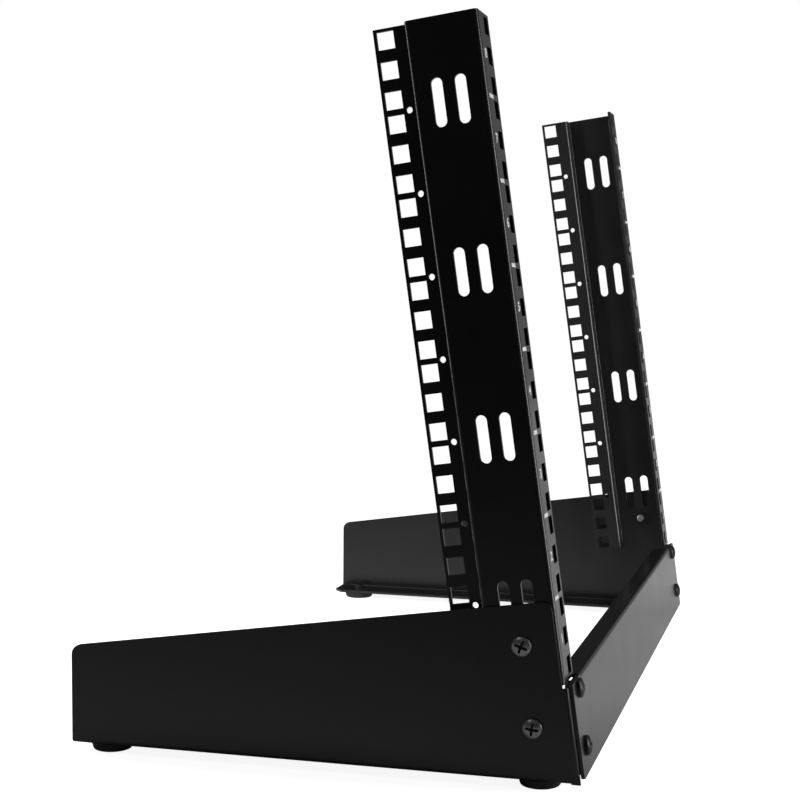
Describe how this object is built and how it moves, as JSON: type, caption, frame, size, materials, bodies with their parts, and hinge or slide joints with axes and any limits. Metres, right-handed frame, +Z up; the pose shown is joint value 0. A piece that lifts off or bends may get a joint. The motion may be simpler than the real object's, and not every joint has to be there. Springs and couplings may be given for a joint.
{
  "type": "two post open frame rack",
  "caption": "Desktop open frame rack: two leaning square-holed steel posts on low side plates, joined by a front crossbar, on rubber feet.",
  "frame": {"origin": "on the floor, midway between the two sides and between the front and rear ends", "axes": "+X to the right seen from the front, +Y from the front to the back, +Z up"},
  "size_m": [0.5124, 0.2971, 0.4109],
  "materials": {
    "powder_coat": "fine satin black powder coat on folded steel sheet",
    "rubber": "matt black rubber",
    "black_screw": "black coated steel screws",
    "grey_screw": "dark grey steel screws",
    "white_ink": "matt white printed ink"
  },
  "bodies": {
    "root": {"left_post": "powder_coat", "left_side_plate": "powder_coat", "right_post": "powder_coat", "right_side_plate": "powder_coat", "front_crossbar": "powder_coat", "left_post_screw_upper": "grey_screw", "left_post_nut_upper": "powder_coat", "left_bar_screw_upper": "black_screw", "left_bar_nut_upper": "powder_coat", "left_post_screw_lower": "grey_screw", "left_post_nut_lower": "powder_coat", "left_bar_screw_lower": "black_screw", "left_bar_nut_lower": "powder_coat", "left_front_foot": "rubber", "left_front_foot_screw": "black_screw", "left_front_foot_nut": "black_screw", "left_rear_foot": "rubber", "left_rear_foot_screw": "black_screw", "left_rear_foot_nut": "black_screw", "right_post_screw_upper": "grey_screw", "right_post_nut_upper": "powder_coat", "right_bar_screw_upper": "black_screw", "right_bar_nut_upper": "powder_coat", "right_post_screw_lower": "grey_screw", "right_post_nut_lower": "powder_coat", "right_bar_screw_lower": "black_screw", "right_bar_nut_lower": "powder_coat", "right_front_foot": "rubber", "right_front_foot_screw": "black_screw", "right_front_foot_nut": "black_screw", "right_rear_foot": "rubber", "right_rear_foot_screw": "black_screw", "right_rear_foot_nut": "black_screw"}
  },
  "joints": []
}
